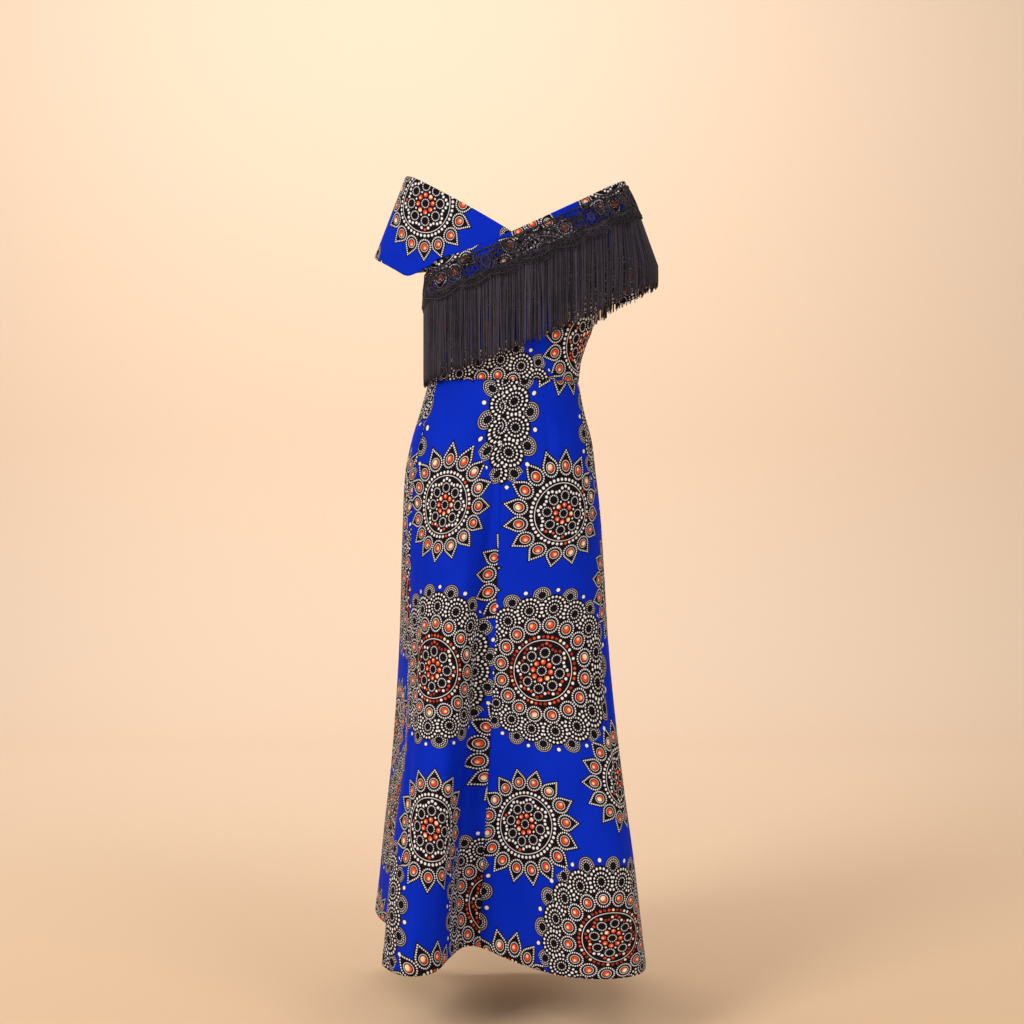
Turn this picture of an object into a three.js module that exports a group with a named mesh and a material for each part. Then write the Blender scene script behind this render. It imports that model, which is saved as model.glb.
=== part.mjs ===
// Maxi dress of wax-print cotton in the round form it has when it is worn: a fitted bodice, a flared skirt of three
// panels, an off-shoulder band round the left arm, and a wrap band that runs from the left underarm over the right
// arm and back, with a lace trim and a long fringe.
// Millimetres. +Z up, -Y the back of the dress, +X the wearer's right. The origin is on the centre line, level with
// the shoulder tips, and every height is counted from there.
import * as THREE from "three";

const DEGREE = Math.PI / 180;

// Cloth walls and the gaps between pieces
const CLOTH = 1.6;
const SEAM_GAP = 0.3;
const LAYER_GAP = 0.6;
const LACE_GAP = 1.5;

// Heights
const WAIST = -355;
const HEM = -1320;
const V_POINT = -108;

// Top edges of the two bands: x and z of the outermost points, and of the wrap band's end at the left underarm
const LEFT_TIP = { x: -184, z: 4.5 };
const RIGHT_TIP = { x: 194, z: -5 };
const LEFT_UNDERARM = { x: -150, z: -163 };

// Lace and fringe, as depths below the wrap band's top edge
const LACE_TOP = 12;
const LACE_NOTCH = 56;
const LACE_TIP = 65;
const LACE_WALL = 1;
const LACE_CURL = 1.6;
const LACE_PITCH = 55;
const HEADER_TOP = 44;
const HEADER_BOTTOM = 54;
const HEADER_WALL = 1.4;
const FRINGE_LENGTH = 148;
const FRINGE_UNEVEN = 5;
const FRINGE_PITCH = 6;
const LOCK_SHARE = 0.66;
// Where the fringe's tips are cut shorter over the right arm, in degrees from the centre back or front
const ARM_TRIM = { length: 20, start: 72, end: 90 };
// Radians from one lock to the next in the wave that makes the tips uneven
const UNEVEN_TURN = 2.4;

// Sections of the torso: lean is the centre line's x, half the half width, back and front the depths each way, and
// square says how boxy the section is, where 2 is an ellipse.
const TORSO = [
  { z: -355, lean: -15, half: 131, back: 86, front: 98, square: 2.3 },
  { z: -310, lean: -10, half: 133, back: 93, front: 106, square: 2.35 },
  { z: -260, lean: -2, half: 143, back: 101, front: 116, square: 2.5 },
  { z: -215, lean: 6, half: 152, back: 105, front: 121, square: 2.7 },
  { z: -165, lean: 8, half: 154, back: 106, front: 118, square: 2.8 },
  { z: -110, lean: 8, half: 155, back: 104, front: 110, square: 2.8 },
  { z: -50, lean: 6, half: 159, back: 100, front: 102, square: 2.6 },
  { z: 40, lean: 5, half: 166, back: 94, front: 96, square: 2.4 },
];

// Sections of the skirt. Spread is the share of the hem's folds that a section has: 0 is the plain section, 1 the hem.
const SKIRT = [
  { z: -1320, lean: -19, half: 170, back: 126, front: 114, square: 2.3, spread: 1 },
  { z: -1254, lean: -19, half: 170, back: 126, front: 114, square: 2.3, spread: 0.92 },
  { z: -1156, lean: -19, half: 170, back: 126, front: 114, square: 2.3, spread: 0.79 },
  { z: -1044, lean: -19, half: 170, back: 126, front: 114, square: 2.3, spread: 0.61 },
  { z: -930, lean: -19, half: 170, back: 126, front: 114, square: 2.3, spread: 0.44 },
  { z: -809, lean: -19, half: 170, back: 126, front: 114, square: 2.3, spread: 0.28 },
  { z: -664, lean: -19, half: 171, back: 127, front: 114, square: 2.3, spread: 0.13 },
  { z: -580, lean: -19, half: 170, back: 127, front: 114, square: 2.3, spread: 0.05 },
  { z: -510, lean: -20, half: 166, back: 124, front: 112, square: 2.3, spread: 0 },
  { z: -455, lean: -18, half: 157, back: 114, front: 108, square: 2.3, spread: 0 },
  { z: -405, lean: -17, half: 143, back: 99, front: 103, square: 2.3, spread: 0 },
  { z: -355, lean: -15, half: 131, back: 86, front: 98, square: 2.3, spread: 0 },
];

// The hem's edge all round, a row for each ridge, flank and valley. Turn is the angle at the hips of the cloth that
// hangs there, counted from the centre back towards the wearer's right; rise is how far the hem lifts.
const HEM_EDGE = [
  { turn: 0, x: -55, y: -130, rise: 15 }, // centre back seam
  { turn: 12, x: 8, y: -182, rise: 4 },
  { turn: 26, x: 80, y: -240, rise: 0 },
  { turn: 41, x: 150, y: -256, rise: 0 }, // ridge over the right leg, which is set back
  { turn: 56, x: 204, y: -230, rise: 0 },
  { turn: 68, x: 219, y: -172, rise: 0 },
  { turn: 80, x: 212, y: -88, rise: 0 }, // right side seam
  { turn: 96, x: 204, y: 0, rise: 0 }, // valley
  { turn: 112, x: 219, y: 85, rise: 0 },
  { turn: 128, x: 208, y: 168, rise: 0 }, // ridge
  { turn: 143, x: 156, y: 222, rise: 0 },
  { turn: 160, x: 85, y: 200, rise: 4 }, // valley
  { turn: 178, x: 5, y: 213, rise: 0 }, // ridge
  { turn: 196, x: -80, y: 196, rise: 4 }, // valley
  { turn: 213, x: -160, y: 229, rise: 0 },
  { turn: 229, x: -228, y: 232, rise: 0 }, // ridge over the left leg, which is set forward
  { turn: 243, x: -254, y: 185, rise: 0 },
  { turn: 258, x: -240, y: 108, rise: 0 },
  { turn: 276, x: -210, y: 34, rise: 2 },
  { turn: 294, x: -197, y: -40, rise: 4 }, // left side seam, in a valley
  { turn: 304, x: -208, y: -112, rise: 0 },
  { turn: 314, x: -211, y: -182, rise: 0 },
  { turn: 325, x: -170, y: -241, rise: 0 }, // ridge
  { turn: 337, x: -124, y: -219, rise: 0 },
  { turn: 346, x: -102, y: -166, rise: 8 }, // the steep flank of the deep fold
  { turn: 353, x: -82, y: -132, rise: 15 }, // its valley
];

// Seams of the skirt, as turns
const CENTRE_BACK = 0;
const RIGHT_SEAM = 80;
const LEFT_SEAM = 294;

// Bust cups worked by darts: angles each side of the centre front, height, fullness and reach
const CUP = { angle: 36, z: -212, fullness: 13, reach: 24, height: 48 };

// The arm that a band goes round: its outermost point, how fast its section widens below that and down to what
// height, and the section's depths each way
const LEFT_ARM = { side: -1, tip: LEFT_TIP, flare: 0.385, lowest: -135, back: 102, front: 108 };
const RIGHT_ARM = { side: 1, tip: RIGHT_TIP, flare: 0.36, lowest: -155, back: 102, front: 108 };
const ROUND = 2;

// Where a band leaves the torso for the arm, in degrees from the centre back or front
const PEEL_START = 46;
const PEEL_END = 76;

// Edges by the angle from the nearer of centre back and centre front
const BODICE_TOP = [
  { angle: 0, z: -122 },
  { angle: 30, z: -125 },
  { angle: 48, z: -146 },
  { angle: 60, z: -170 },
  { angle: 90, z: -176 },
];
const WRAP_DEPTH = [
  { angle: -90, depth: 72 },
  { angle: -45, depth: 78 },
  { angle: 0, depth: 88 },
  { angle: 40, depth: 128 },
  { angle: 60, depth: 168 },
  { angle: 75, depth: 186 },
  { angle: 90, depth: 151 },
];
// Tuck is how far the left band's lower edge lies under the wrap band's top edge, where it does
const LEFT_BAND_TUCK = [
  { angle: -12, tuck: 44 },
  { angle: 0, tuck: 26 },
  { angle: 36, tuck: 14 },
  { angle: 47, tuck: -1 },
  { angle: 61, tuck: -3 },
];
const LEFT_BAND_HEM = [
  { angle: 61, back: -155, front: -154 },
  { angle: 66, back: -169, front: -160 },
  { angle: 71, back: -178, front: -162 },
  { angle: 80, back: -166, front: -154 },
  { angle: 90, back: -134, front: -134 },
];
const LEFT_BAND_END = 9;

// A smooth reading of a table's columns between its rows. Round tables go on from the last row to the first.
function reader(rows, key, period = 0) {
  const sorted = [...rows].sort((a, b) => a[key] - b[key]);
  const count = sorted.length;
  const columns = Object.keys(sorted[0]).filter((name) => name !== key);
  const row = (i) => sorted[period ? (i + count) % count : THREE.MathUtils.clamp(i, 0, count - 1)];
  const place = (i) => row(i)[key] + (period ? period * Math.floor(i / count) : 0);
  return (asked) => {
    let at = period ? THREE.MathUtils.euclideanModulo(asked, period) : asked;
    if (!period) at = THREE.MathUtils.clamp(at, sorted[0][key], sorted[count - 1][key]);
    if (period && at < sorted[0][key]) at += period;
    let i = 0;
    while (i < count - (period ? 1 : 2) && at >= place(i + 1)) i += 1;
    const span = place(i + 1) - place(i);
    const t = (at - place(i)) / span;
    const slope = (j, name) => {
      const reach = place(j + 1) - place(j - 1);
      return reach ? (row(j + 1)[name] - row(j - 1)[name]) / reach : 0;
    };
    return Object.fromEntries(
      columns.map((name) => [
        name,
        row(i)[name] * (2 * t ** 3 - 3 * t ** 2 + 1) +
          row(i + 1)[name] * (3 * t ** 2 - 2 * t ** 3) +
          slope(i, name) * span * (t ** 3 - 2 * t ** 2 + t) +
          slope(i + 1, name) * span * (t ** 3 - t ** 2),
      ]),
    );
  };
}

const torsoAt = reader(TORSO, "z");
const skirtAt = reader(SKIRT, "z");
const hemAt = reader(HEM_EDGE, "turn", 360);
const bodiceTopAt = reader(BODICE_TOP, "angle");
const wrapDepthAt = reader(WRAP_DEPTH, "angle");
const tuckAt = reader(LEFT_BAND_TUCK, "angle");
const leftHemAt = reader(LEFT_BAND_HEM, "angle");

// Distance from the centre line to a section's edge, in degrees from the centre back
function radiusOf({ half, back, front, square }, angle) {
  const across = Math.abs(Math.sin(angle * DEGREE));
  const along = Math.cos(angle * DEGREE);
  const depth = along > 0 ? back : front;
  return ((across / half) ** square + (Math.abs(along) / depth) ** square) ** (-1 / square);
}

// The level direction straight out at an angle, and the point so far out from a centre
const outFrom = (angle) => new THREE.Vector3(Math.sin(angle * DEGREE), -Math.cos(angle * DEGREE), 0);

function polar(centre, radius, angle, z) {
  return outFrom(angle).multiplyScalar(radius).add(new THREE.Vector3(centre, 0, z));
}

// An angle from -180 to 180, and its angle from the nearer of centre back and centre front
const signed = (angle) => THREE.MathUtils.euclideanModulo(angle + 180, 360) - 180;
const fromCentre = (angle) => 90 - Math.abs(Math.abs(signed(angle)) - 90);

function torsoRadius(angle, z) {
  const offFront = 180 - Math.abs(signed(angle));
  const cup = Math.exp(-(((offFront - CUP.angle) / CUP.reach) ** 2) - ((z - CUP.z) / CUP.height) ** 2);
  return radiusOf(torsoAt(z), angle) + CUP.fullness * cup;
}

function torso(angle, z) {
  return polar(torsoAt(z).lean, torsoRadius(angle, z), angle, z);
}

// A band's surface: the torso's near the centres, and out round the arm at that arm's side
function bandRound(arm) {
  return (angle, z) => {
    const bare = torsoRadius(angle, z);
    const onSide = signed(angle) * arm.side > 0;
    const peel = onSide ? THREE.MathUtils.smoothstep(fromCentre(angle), PEEL_START, PEEL_END) : 0;
    const { lean } = torsoAt(z);
    const half = Math.abs(arm.tip.x - lean) + arm.flare * (arm.tip.z - Math.max(z, arm.lowest));
    const armRadius = radiusOf({ half, back: arm.back, front: arm.front, square: ROUND }, angle);
    return polar(lean, THREE.MathUtils.lerp(bare, Math.max(bare, armRadius), peel), angle, z);
  };
}

const leftBand = bandRound(LEFT_ARM);
const wrapBand = bandRound(RIGHT_ARM);

// The skirt's surface: a plain section above the hips, and below them more and more of the hem's folds
function skirt(turn, z) {
  const section = skirtAt(z);
  const edge = hemAt(turn);
  const plain = polar(section.lean, radiusOf(section, turn), turn, z);
  const folded = new THREE.Vector3(edge.x, edge.y, z + edge.rise);
  return plain.lerp(folded, section.spread);
}

// A surface's outward direction, and its point moved out by lift
const STEP = 0.25;
function outward(surface, a, b) {
  const round = surface(a + STEP, b).sub(surface(a - STEP, b));
  const up = surface(a, b + STEP).sub(surface(a, b - STEP));
  return round.cross(up).normalize();
}

function lifted(surface, a, b, lift) {
  return surface(a, b).addScaledVector(outward(surface, a, b), lift);
}

// Heights of the two bands' top edges, by x
function wrapTopAt(x) {
  const right = (RIGHT_TIP.z - V_POINT) / RIGHT_TIP.x;
  const left = (LEFT_UNDERARM.z - V_POINT) / LEFT_UNDERARM.x;
  const bend = (right - left) / (RIGHT_TIP.x - LEFT_UNDERARM.x);
  return V_POINT + (right - bend * RIGHT_TIP.x) * x + bend * x * x;
}

function leftTopAt(x) {
  return V_POINT + ((LEFT_TIP.z - V_POINT) * x) / LEFT_TIP.x;
}

// The height at which an edge given by x crosses a surface's upright line at an angle
const ROUNDS = 12;
function edgeOn(surface, heightAt, angle) {
  let z = V_POINT;
  for (let i = 0; i < ROUNDS; i += 1) z = heightAt(surface(angle, z).x);
  return z;
}

const wrapTop = (angle) => edgeOn(wrapBand, wrapTopAt, angle);
const leftTop = (angle) => edgeOn(leftBand, leftTopAt, angle);
const bodiceTop = (angle) => bodiceTopAt(fromCentre(angle)).z;
const wrapBottom = (angle) => {
  const side = Math.sign(signed(angle)) * fromCentre(angle);
  return wrapTop(angle) - wrapDepthAt(side).depth;
};
const leftBottom = (angle) => {
  const off = signed(angle) < 0 ? fromCentre(angle) : -fromCentre(angle);
  const side = Math.abs(signed(angle)) > 90 ? "front" : "back";
  return off < LEFT_BAND_HEM[0].angle ? wrapTop(angle) - tuckAt(off).tuck : leftHemAt(off)[side];
};

// Layers over the bodice, as the distances of their outer faces from it
const LEFT_BAND_LIFT = LAYER_GAP + CLOTH;
const WRAP_LIFT = LEFT_BAND_LIFT + LAYER_GAP + CLOTH;
const HEADER_LIFT = WRAP_LIFT + LACE_GAP + HEADER_WALL;

// A flat net of points and triangles, and the same net as a grid
function net() {
  const points = [];
  const triangles = [];
  const add = (...point) => points.push(point) - 1;
  const quad = (i, j, k, l) => triangles.push([i, j, k], [i, k, l]);
  return { points, triangles, add, quad };
}

// A grid net: columns run round to the right, rows run down. Each column has its own top and bottom.
function gridNet(columns, rows, top, bottom) {
  const made = net();
  const ids = columns.map((a) =>
    Array.from({ length: rows + 1 }, (_, j) => made.add(a, THREE.MathUtils.lerp(top(a), bottom(a), j / rows))),
  );
  for (let i = 0; i + 1 < columns.length; i += 1)
    for (let j = 0; j < rows; j += 1)
      made.quad(ids[i][j], ids[i][j + 1], ids[i + 1][j + 1], ids[i + 1][j]);
  return made;
}

// A closed wall over a net. place gives a net point's place on the outer face, or on the inner one.
function wall({ points, triangles }, place) {
  const count = points.length;
  const positions = [true, false].flatMap((outer) => points.flatMap((point) => place(point, outer).toArray()));
  const index = [];
  const edges = new Map();
  for (const [i, j, k] of triangles) {
    index.push(i, j, k, count + i, count + k, count + j);
    for (const [from, to] of [[i, j], [j, k], [k, i]])
      if (!edges.delete(`${to} ${from}`)) edges.set(`${from} ${to}`, [from, to]);
  }
  for (const [from, to] of edges.values())
    index.push(from, count + from, to, to, count + from, count + to);
  const geometry = new THREE.BufferGeometry();
  geometry.setAttribute("position", new THREE.Float32BufferAttribute(positions, 3));
  geometry.setIndex(index);
  geometry.computeVertexNormals();
  return geometry;
}

// Even columns from one angle to another
function spread(from, to, step) {
  const count = Math.round((to - from) / step);
  return Array.from({ length: count + 1 }, (_, i) => from + ((to - from) * i) / count);
}

// A panel of cloth on a surface. Its two upright edges stand half a seam gap back from their seams.
function panel({ surface, columns, rows, top, bottom, lift = 0 }) {
  const first = columns[0];
  const last = columns[columns.length - 1];
  return wall(gridNet(columns, rows, top, bottom), ([a, b], outer) => {
    const pull = a === first ? 1 : a === last ? -1 : 0;
    const width = surface(a + STEP, b).distanceTo(surface(a - STEP, b)) / (2 * STEP);
    const angle = a + (pull * SEAM_GAP) / 2 / width;
    return lifted(surface, angle, b, lift - (outer ? 0 : CLOTH));
  });
}

const BODICE_STEP = 7.5;
const BODICE_ROWS = 7;
const SKIRT_ROWS = 12;
const BAND_ROWS = 5;

function bodicePanel(from, to) {
  return panel({
    surface: torso,
    columns: spread(from, to, BODICE_STEP),
    rows: BODICE_ROWS,
    top: bodiceTop,
    bottom: () => WAIST + SEAM_GAP / 2,
  });
}

function skirtPanel(from, to, step) {
  return panel({
    surface: skirt,
    columns: spread(from, to, step),
    rows: SKIRT_ROWS,
    top: () => WAIST - SEAM_GAP / 2,
    bottom: () => HEM,
  });
}

function leftBandPiece() {
  const straight = spread(-180, 0, BODICE_STEP);
  return panel({
    surface: leftBand,
    columns: [-180 - LEFT_BAND_END, ...straight, LEFT_BAND_END],
    rows: BAND_ROWS,
    top: leftTop,
    bottom: leftBottom,
    lift: LEFT_BAND_LIFT,
  });
}

function wrapPiece(from, to) {
  return panel({
    surface: wrapBand,
    columns: spread(from, to, BODICE_STEP),
    rows: BAND_ROWS,
    top: wrapTop,
    bottom: wrapBottom,
    lift: WRAP_LIFT,
  });
}

// The wrap band's top edge walked in small steps, so that trims can be laid along it by length
const WALK_STEP = 1;
function walkEdge(from, to) {
  const steps = [];
  let along = 0;
  let before = null;
  for (let angle = from; angle <= to + 1e-9; angle += WALK_STEP) {
    const z = wrapTop(angle);
    const point = wrapBand(angle, z);
    if (before) along += point.distanceTo(before);
    const width = wrapBand(angle + STEP, z).distanceTo(wrapBand(angle - STEP, z)) / (2 * STEP);
    const climb = (wrapTop(angle + STEP) - wrapTop(angle - STEP)) / (2 * STEP);
    steps.push({ along, angle, z, width, tilt: Math.atan2(climb, width) });
    before = point;
  }
  return { length: along, at: reader(steps, "along") };
}

// The angle and height of a point so far along the edge and so far square down from it
function below(edge, along, down) {
  const { angle, z, width, tilt } = edge.at(along);
  return { angle: angle + (down * Math.sin(tilt)) / width, z: z - down * Math.cos(tilt) };
}

// One repeat of the lace: a rose with a ring of six petal gaps, in a frame with a gap at each side and a scalloped
// lower edge. The rings' sizes are in millimetres, and bar is the share of a cell that its gap leaves open.
const ROSE = { core: 4.2, ring: 6.5, petal: 15.5, petals: 6, bar: 0.62 };
function laceRepeat(made, start, pitch, left, right) {
  const middle = start + pitch / 2;
  const centre = (LACE_TOP + LACE_NOTCH) / 2;
  const ringOf = (radius) =>
    Array.from({ length: ROSE.petals }, (_, i) => {
      const turn = ((i + 0.5) * 360) / ROSE.petals;
      return made.add(middle + radius * Math.cos(turn * DEGREE), centre + radius * Math.sin(turn * DEGREE));
    });
  const core = ringOf(ROSE.core);
  const inner = ringOf(ROSE.ring);
  const outer = ringOf(ROSE.petal);
  const foot = made.add(middle, LACE_NOTCH);
  const head = made.add(middle, LACE_TOP);
  const frame = [right.notch, foot, left.notch, left.top, head, right.top];
  const hub = made.add(middle, centre);
  const next = (ring, i) => ring[(i + 1) % ROSE.petals];
  const pierced = (...corners) => {
    const centroid = [0, 1].map((n) => corners.reduce((sum, id) => sum + made.points[id][n], 0) / corners.length);
    const hole = corners.map((id) =>
      made.add(...made.points[id].map((value, n) => THREE.MathUtils.lerp(centroid[n], value, ROSE.bar))),
    );
    corners.forEach((id, i) => made.quad(id, corners[(i + 1) % 4], hole[(i + 1) % 4], hole[i]));
  };
  for (let i = 0; i < ROSE.petals; i += 1) {
    made.triangles.push([hub, next(core, i), core[i]]);
    made.quad(core[i], next(core, i), next(inner, i), inner[i]);
    pierced(inner[i], next(inner, i), next(outer, i), outer[i]);
    const cell = [outer[i], next(outer, i), next(frame, i), frame[i]];
    const atSide = i % 3 === 2;
    if (atSide) pierced(...cell);
    else made.quad(...cell);
  }
  const scallop = [0.75, 0.5, 0.25].map((share) =>
    made.add(start + pitch * share, LACE_NOTCH + (LACE_TIP - LACE_NOTCH) * Math.sin(Math.PI * share)),
  );
  const edge = [right.notch, ...scallop, left.notch];
  for (let i = 0; i + 1 < edge.length; i += 1) made.triangles.push([foot, edge[i + 1], edge[i]]);
}

function lacePiece(from, to) {
  const edge = walkEdge(from, to);
  const repeats = Math.round(edge.length / LACE_PITCH);
  const pitch = (edge.length - SEAM_GAP) / repeats;
  const made = net();
  const side = (along) => ({ top: made.add(along, LACE_TOP), notch: made.add(along, LACE_NOTCH) });
  let left = side(SEAM_GAP / 2);
  for (let i = 0; i < repeats; i += 1) {
    const start = SEAM_GAP / 2 + i * pitch;
    const right = side(start + pitch);
    laceRepeat(made, start, pitch, left, right);
    left = right;
  }
  // It lies on the band along its top, rides over the fringe's header and lifts a little at its free edge
  const flat = WRAP_LIFT + LACE_GAP + LACE_WALL;
  const raised = HEADER_LIFT + LACE_GAP + LACE_WALL;
  return wall(made, ([along, down], outer) => {
    const { angle, z } = below(edge, along, down);
    const rise = THREE.MathUtils.smoothstep(down, LACE_TOP, HEADER_TOP);
    const curl = LACE_CURL * THREE.MathUtils.smoothstep(down, HEADER_TOP, LACE_TIP);
    const lift = THREE.MathUtils.lerp(flat, raised, rise) + curl;
    return lifted(wrapBand, angle, z, lift - (outer ? 0 : LACE_WALL));
  });
}

// Where a lock that hangs from the wrap band passes the fullest place below its root, as a drop and a push outwards
const FALL_STEP = 6;
const HIGHEST_KNEE = 0.25;
const LOWEST_KNEE = 0.8;
const SWING = 2;
function kneeOf(angle, from, length) {
  const root = wrapBand(angle, from);
  const lowest = wrapBottom(angle) - FALL_STEP;
  const knee = { drop: HIGHEST_KNEE * length, push: 0 };
  for (let drop = knee.drop; drop < LOWEST_KNEE * length; drop += FALL_STEP) {
    const z = from - drop;
    const met = z > lowest ? wrapBand(angle, z) : torso(angle, z);
    const push = met.sub(root).dot(outFrom(angle)) + SWING;
    if (push > knee.push) Object.assign(knee, { drop, push });
  }
  return knee;
}

// The fringe is cut like a comb: a header with flat locks that hang from its lower edge. Each lock slants out to its
// knee and hangs straight below it.
function fringePiece(from, to) {
  const edge = walkEdge(from, to);
  const count = Math.round(edge.length / FRINGE_PITCH);
  const pitch = (edge.length - SEAM_GAP) / count;
  const made = net();
  const rung = (along) => [HEADER_TOP, HEADER_BOTTOM].map((down) => made.add(along, down));
  let left = rung(SEAM_GAP / 2);
  for (let i = 0; i < count; i += 1) {
    const start = SEAM_GAP / 2 + i * pitch;
    const width = pitch * LOCK_SHARE;
    const right = rung(start + width);
    const end = rung(start + pitch);
    const root = below(edge, start + width / 2, HEADER_BOTTOM);
    const onArm = THREE.MathUtils.smoothstep(fromCentre(root.angle), ARM_TRIM.start, ARM_TRIM.end);
    const trim = signed(root.angle) > 0 ? ARM_TRIM.length * onArm : 0;
    const length = FRINGE_LENGTH - FRINGE_UNEVEN * Math.abs(Math.sin(UNEVEN_TURN * i)) - trim;
    const knee = kneeOf(root.angle, root.z, length);
    made.quad(left[0], left[1], right[1], right[0]);
    made.quad(right[0], right[1], end[1], end[0]);
    let above = [left[1], right[1]];
    for (const drop of [knee.drop, length]) {
      const lower = [start, start + width].map((along) => made.add(along, HEADER_BOTTOM, drop, knee.push));
      made.quad(above[0], lower[0], lower[1], above[1]);
      above = lower;
    }
    left = end;
  }
  return wall(made, ([along, down, drop = 0, push = 0], outer) => {
    const { angle, z } = below(edge, along, down);
    const held = lifted(wrapBand, angle, z, HEADER_LIFT - (outer ? 0 : HEADER_WALL));
    return held.addScaledVector(outFrom(angle), push).setZ(held.z - drop);
  });
}

const BLUE_PRINT = { color: 0x1a2fb8, roughness: 0.62, metalness: 0 };
const BLACK_LACE = { color: 0x1b181d, roughness: 0.8, metalness: 0 };
const BLACK_FRINGE = { color: 0x29242c, roughness: 0.55, metalness: 0 };
const SKIRT_STEP = { backLeft: 5.1, backRight: 5.7, front: 6.1 };

const PIECES = [
  ["bodice_back", BLUE_PRINT, bodicePanel(-90, 90)],
  ["bodice_front", BLUE_PRINT, bodicePanel(90, 270)],
  ["skirt_back_left", BLUE_PRINT, skirtPanel(LEFT_SEAM, CENTRE_BACK + 360, SKIRT_STEP.backLeft)],
  ["skirt_back_right", BLUE_PRINT, skirtPanel(CENTRE_BACK, RIGHT_SEAM, SKIRT_STEP.backRight)],
  ["skirt_front", BLUE_PRINT, skirtPanel(RIGHT_SEAM, LEFT_SEAM, SKIRT_STEP.front)],
  ["left_shoulder_band", BLUE_PRINT, leftBandPiece()],
  ["wrap_band_back", BLUE_PRINT, wrapPiece(-90, 90)],
  ["wrap_band_front", BLUE_PRINT, wrapPiece(90, 270)],
  ["lace_back", BLACK_LACE, lacePiece(-90, 90)],
  ["lace_front", BLACK_LACE, lacePiece(90, 270)],
  ["fringe_back", BLACK_FRINGE, fringePiece(-90, 90)],
  ["fringe_front", BLACK_FRINGE, fringePiece(90, 270)],
];

const dress = new THREE.Group();
for (const [name, finish, geometry] of PIECES) {
  const mesh = new THREE.Mesh(geometry, new THREE.MeshStandardMaterial(finish));
  mesh.name = name;
  dress.add(mesh);
}

export default dress;
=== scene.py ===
"""Looks of the maxi dress: the printed cotton panels, the lace, the fringe, the light and the camera.

Lengths are millimetres in the frame of the part: +Z up, -Y the back of the dress, +X the wearer's right, the
origin level with the shoulder tips. The print's places and pulls, the stage and the camera are in metres.
"""

import functools
import math

import bpy
import numpy as np
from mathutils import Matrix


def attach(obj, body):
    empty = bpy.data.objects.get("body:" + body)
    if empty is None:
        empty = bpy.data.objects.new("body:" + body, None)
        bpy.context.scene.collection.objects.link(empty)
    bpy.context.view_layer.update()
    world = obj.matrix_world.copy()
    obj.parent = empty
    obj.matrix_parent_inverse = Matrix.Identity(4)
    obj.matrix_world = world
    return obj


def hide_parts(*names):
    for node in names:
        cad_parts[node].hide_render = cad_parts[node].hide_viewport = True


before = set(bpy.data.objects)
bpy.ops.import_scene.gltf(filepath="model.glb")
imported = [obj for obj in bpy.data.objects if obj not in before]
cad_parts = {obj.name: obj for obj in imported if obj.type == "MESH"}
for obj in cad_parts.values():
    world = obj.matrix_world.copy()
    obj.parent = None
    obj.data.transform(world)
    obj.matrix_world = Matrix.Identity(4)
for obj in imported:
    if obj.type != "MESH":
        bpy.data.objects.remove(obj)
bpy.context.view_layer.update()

MM = 0.001
TAU = 2 * math.pi


def add_object(name, data):
    thing = bpy.data.objects.new(name, data)
    bpy.context.scene.collection.objects.link(thing)
    return thing


# Camera, first: level with the hips of the wearer, straight behind

FLOOR = -1.44
CAMERA_AWAY = 2.7
CAMERA_HEIGHT = 0.86
IMAGE_PIXELS = 1024
FOCAL_PIXELS = 1543
SENSOR = 36
camera = add_object("camera", bpy.data.cameras.new("camera"))
camera.location = (0, -CAMERA_AWAY, CAMERA_HEIGHT + FLOOR)
camera.rotation_euler = (math.radians(90), 0, 0)
camera.data.sensor_width = SENSOR
camera.data.lens = SENSOR * FOCAL_PIXELS / IMAGE_PIXELS
bpy.context.scene.camera = camera

# Sizes shared with the part's solids

WAIST = -355
HEM = -1320
V_POINT = -108
LEFT_TIP = (-184, 4.5)
RIGHT_TIP = (194, -5)
LEFT_UNDERARM = (-150, -163)
LEFT_ARM = dict(side=-1, tip=LEFT_TIP, flare=0.385, lowest=-135, depth=102)
RIGHT_ARM = dict(side=1, tip=RIGHT_TIP, flare=0.36, lowest=-155, depth=102)
PEEL = (46, 76)
CUP = dict(angle=36, z=-212, fullness=13, reach=24, height=48)
LEFT_BAND_LIFT = 2.2
WRAP_LIFT = 4.4
LACE_LIFT = 6.9
HEADER_LIFT = 7.3
RIGHT_SEAM = 80
LEFT_SEAM = 294
ARM_FRONT = 6
ELLIPSE = 2

# Sizes of the cloth alone: its thickness, the gap at the waist seam, and the angles of a half's sides

CLOTH = 1.0
LEFT_BAND_CLOTH = 1.2
SEAM_GAP = 0.1
BACK_SIDE = (-90 + 0.05, 90 - 0.05)
FRONT_SIDE = (90 + 0.05, 270 - 0.05)


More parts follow.
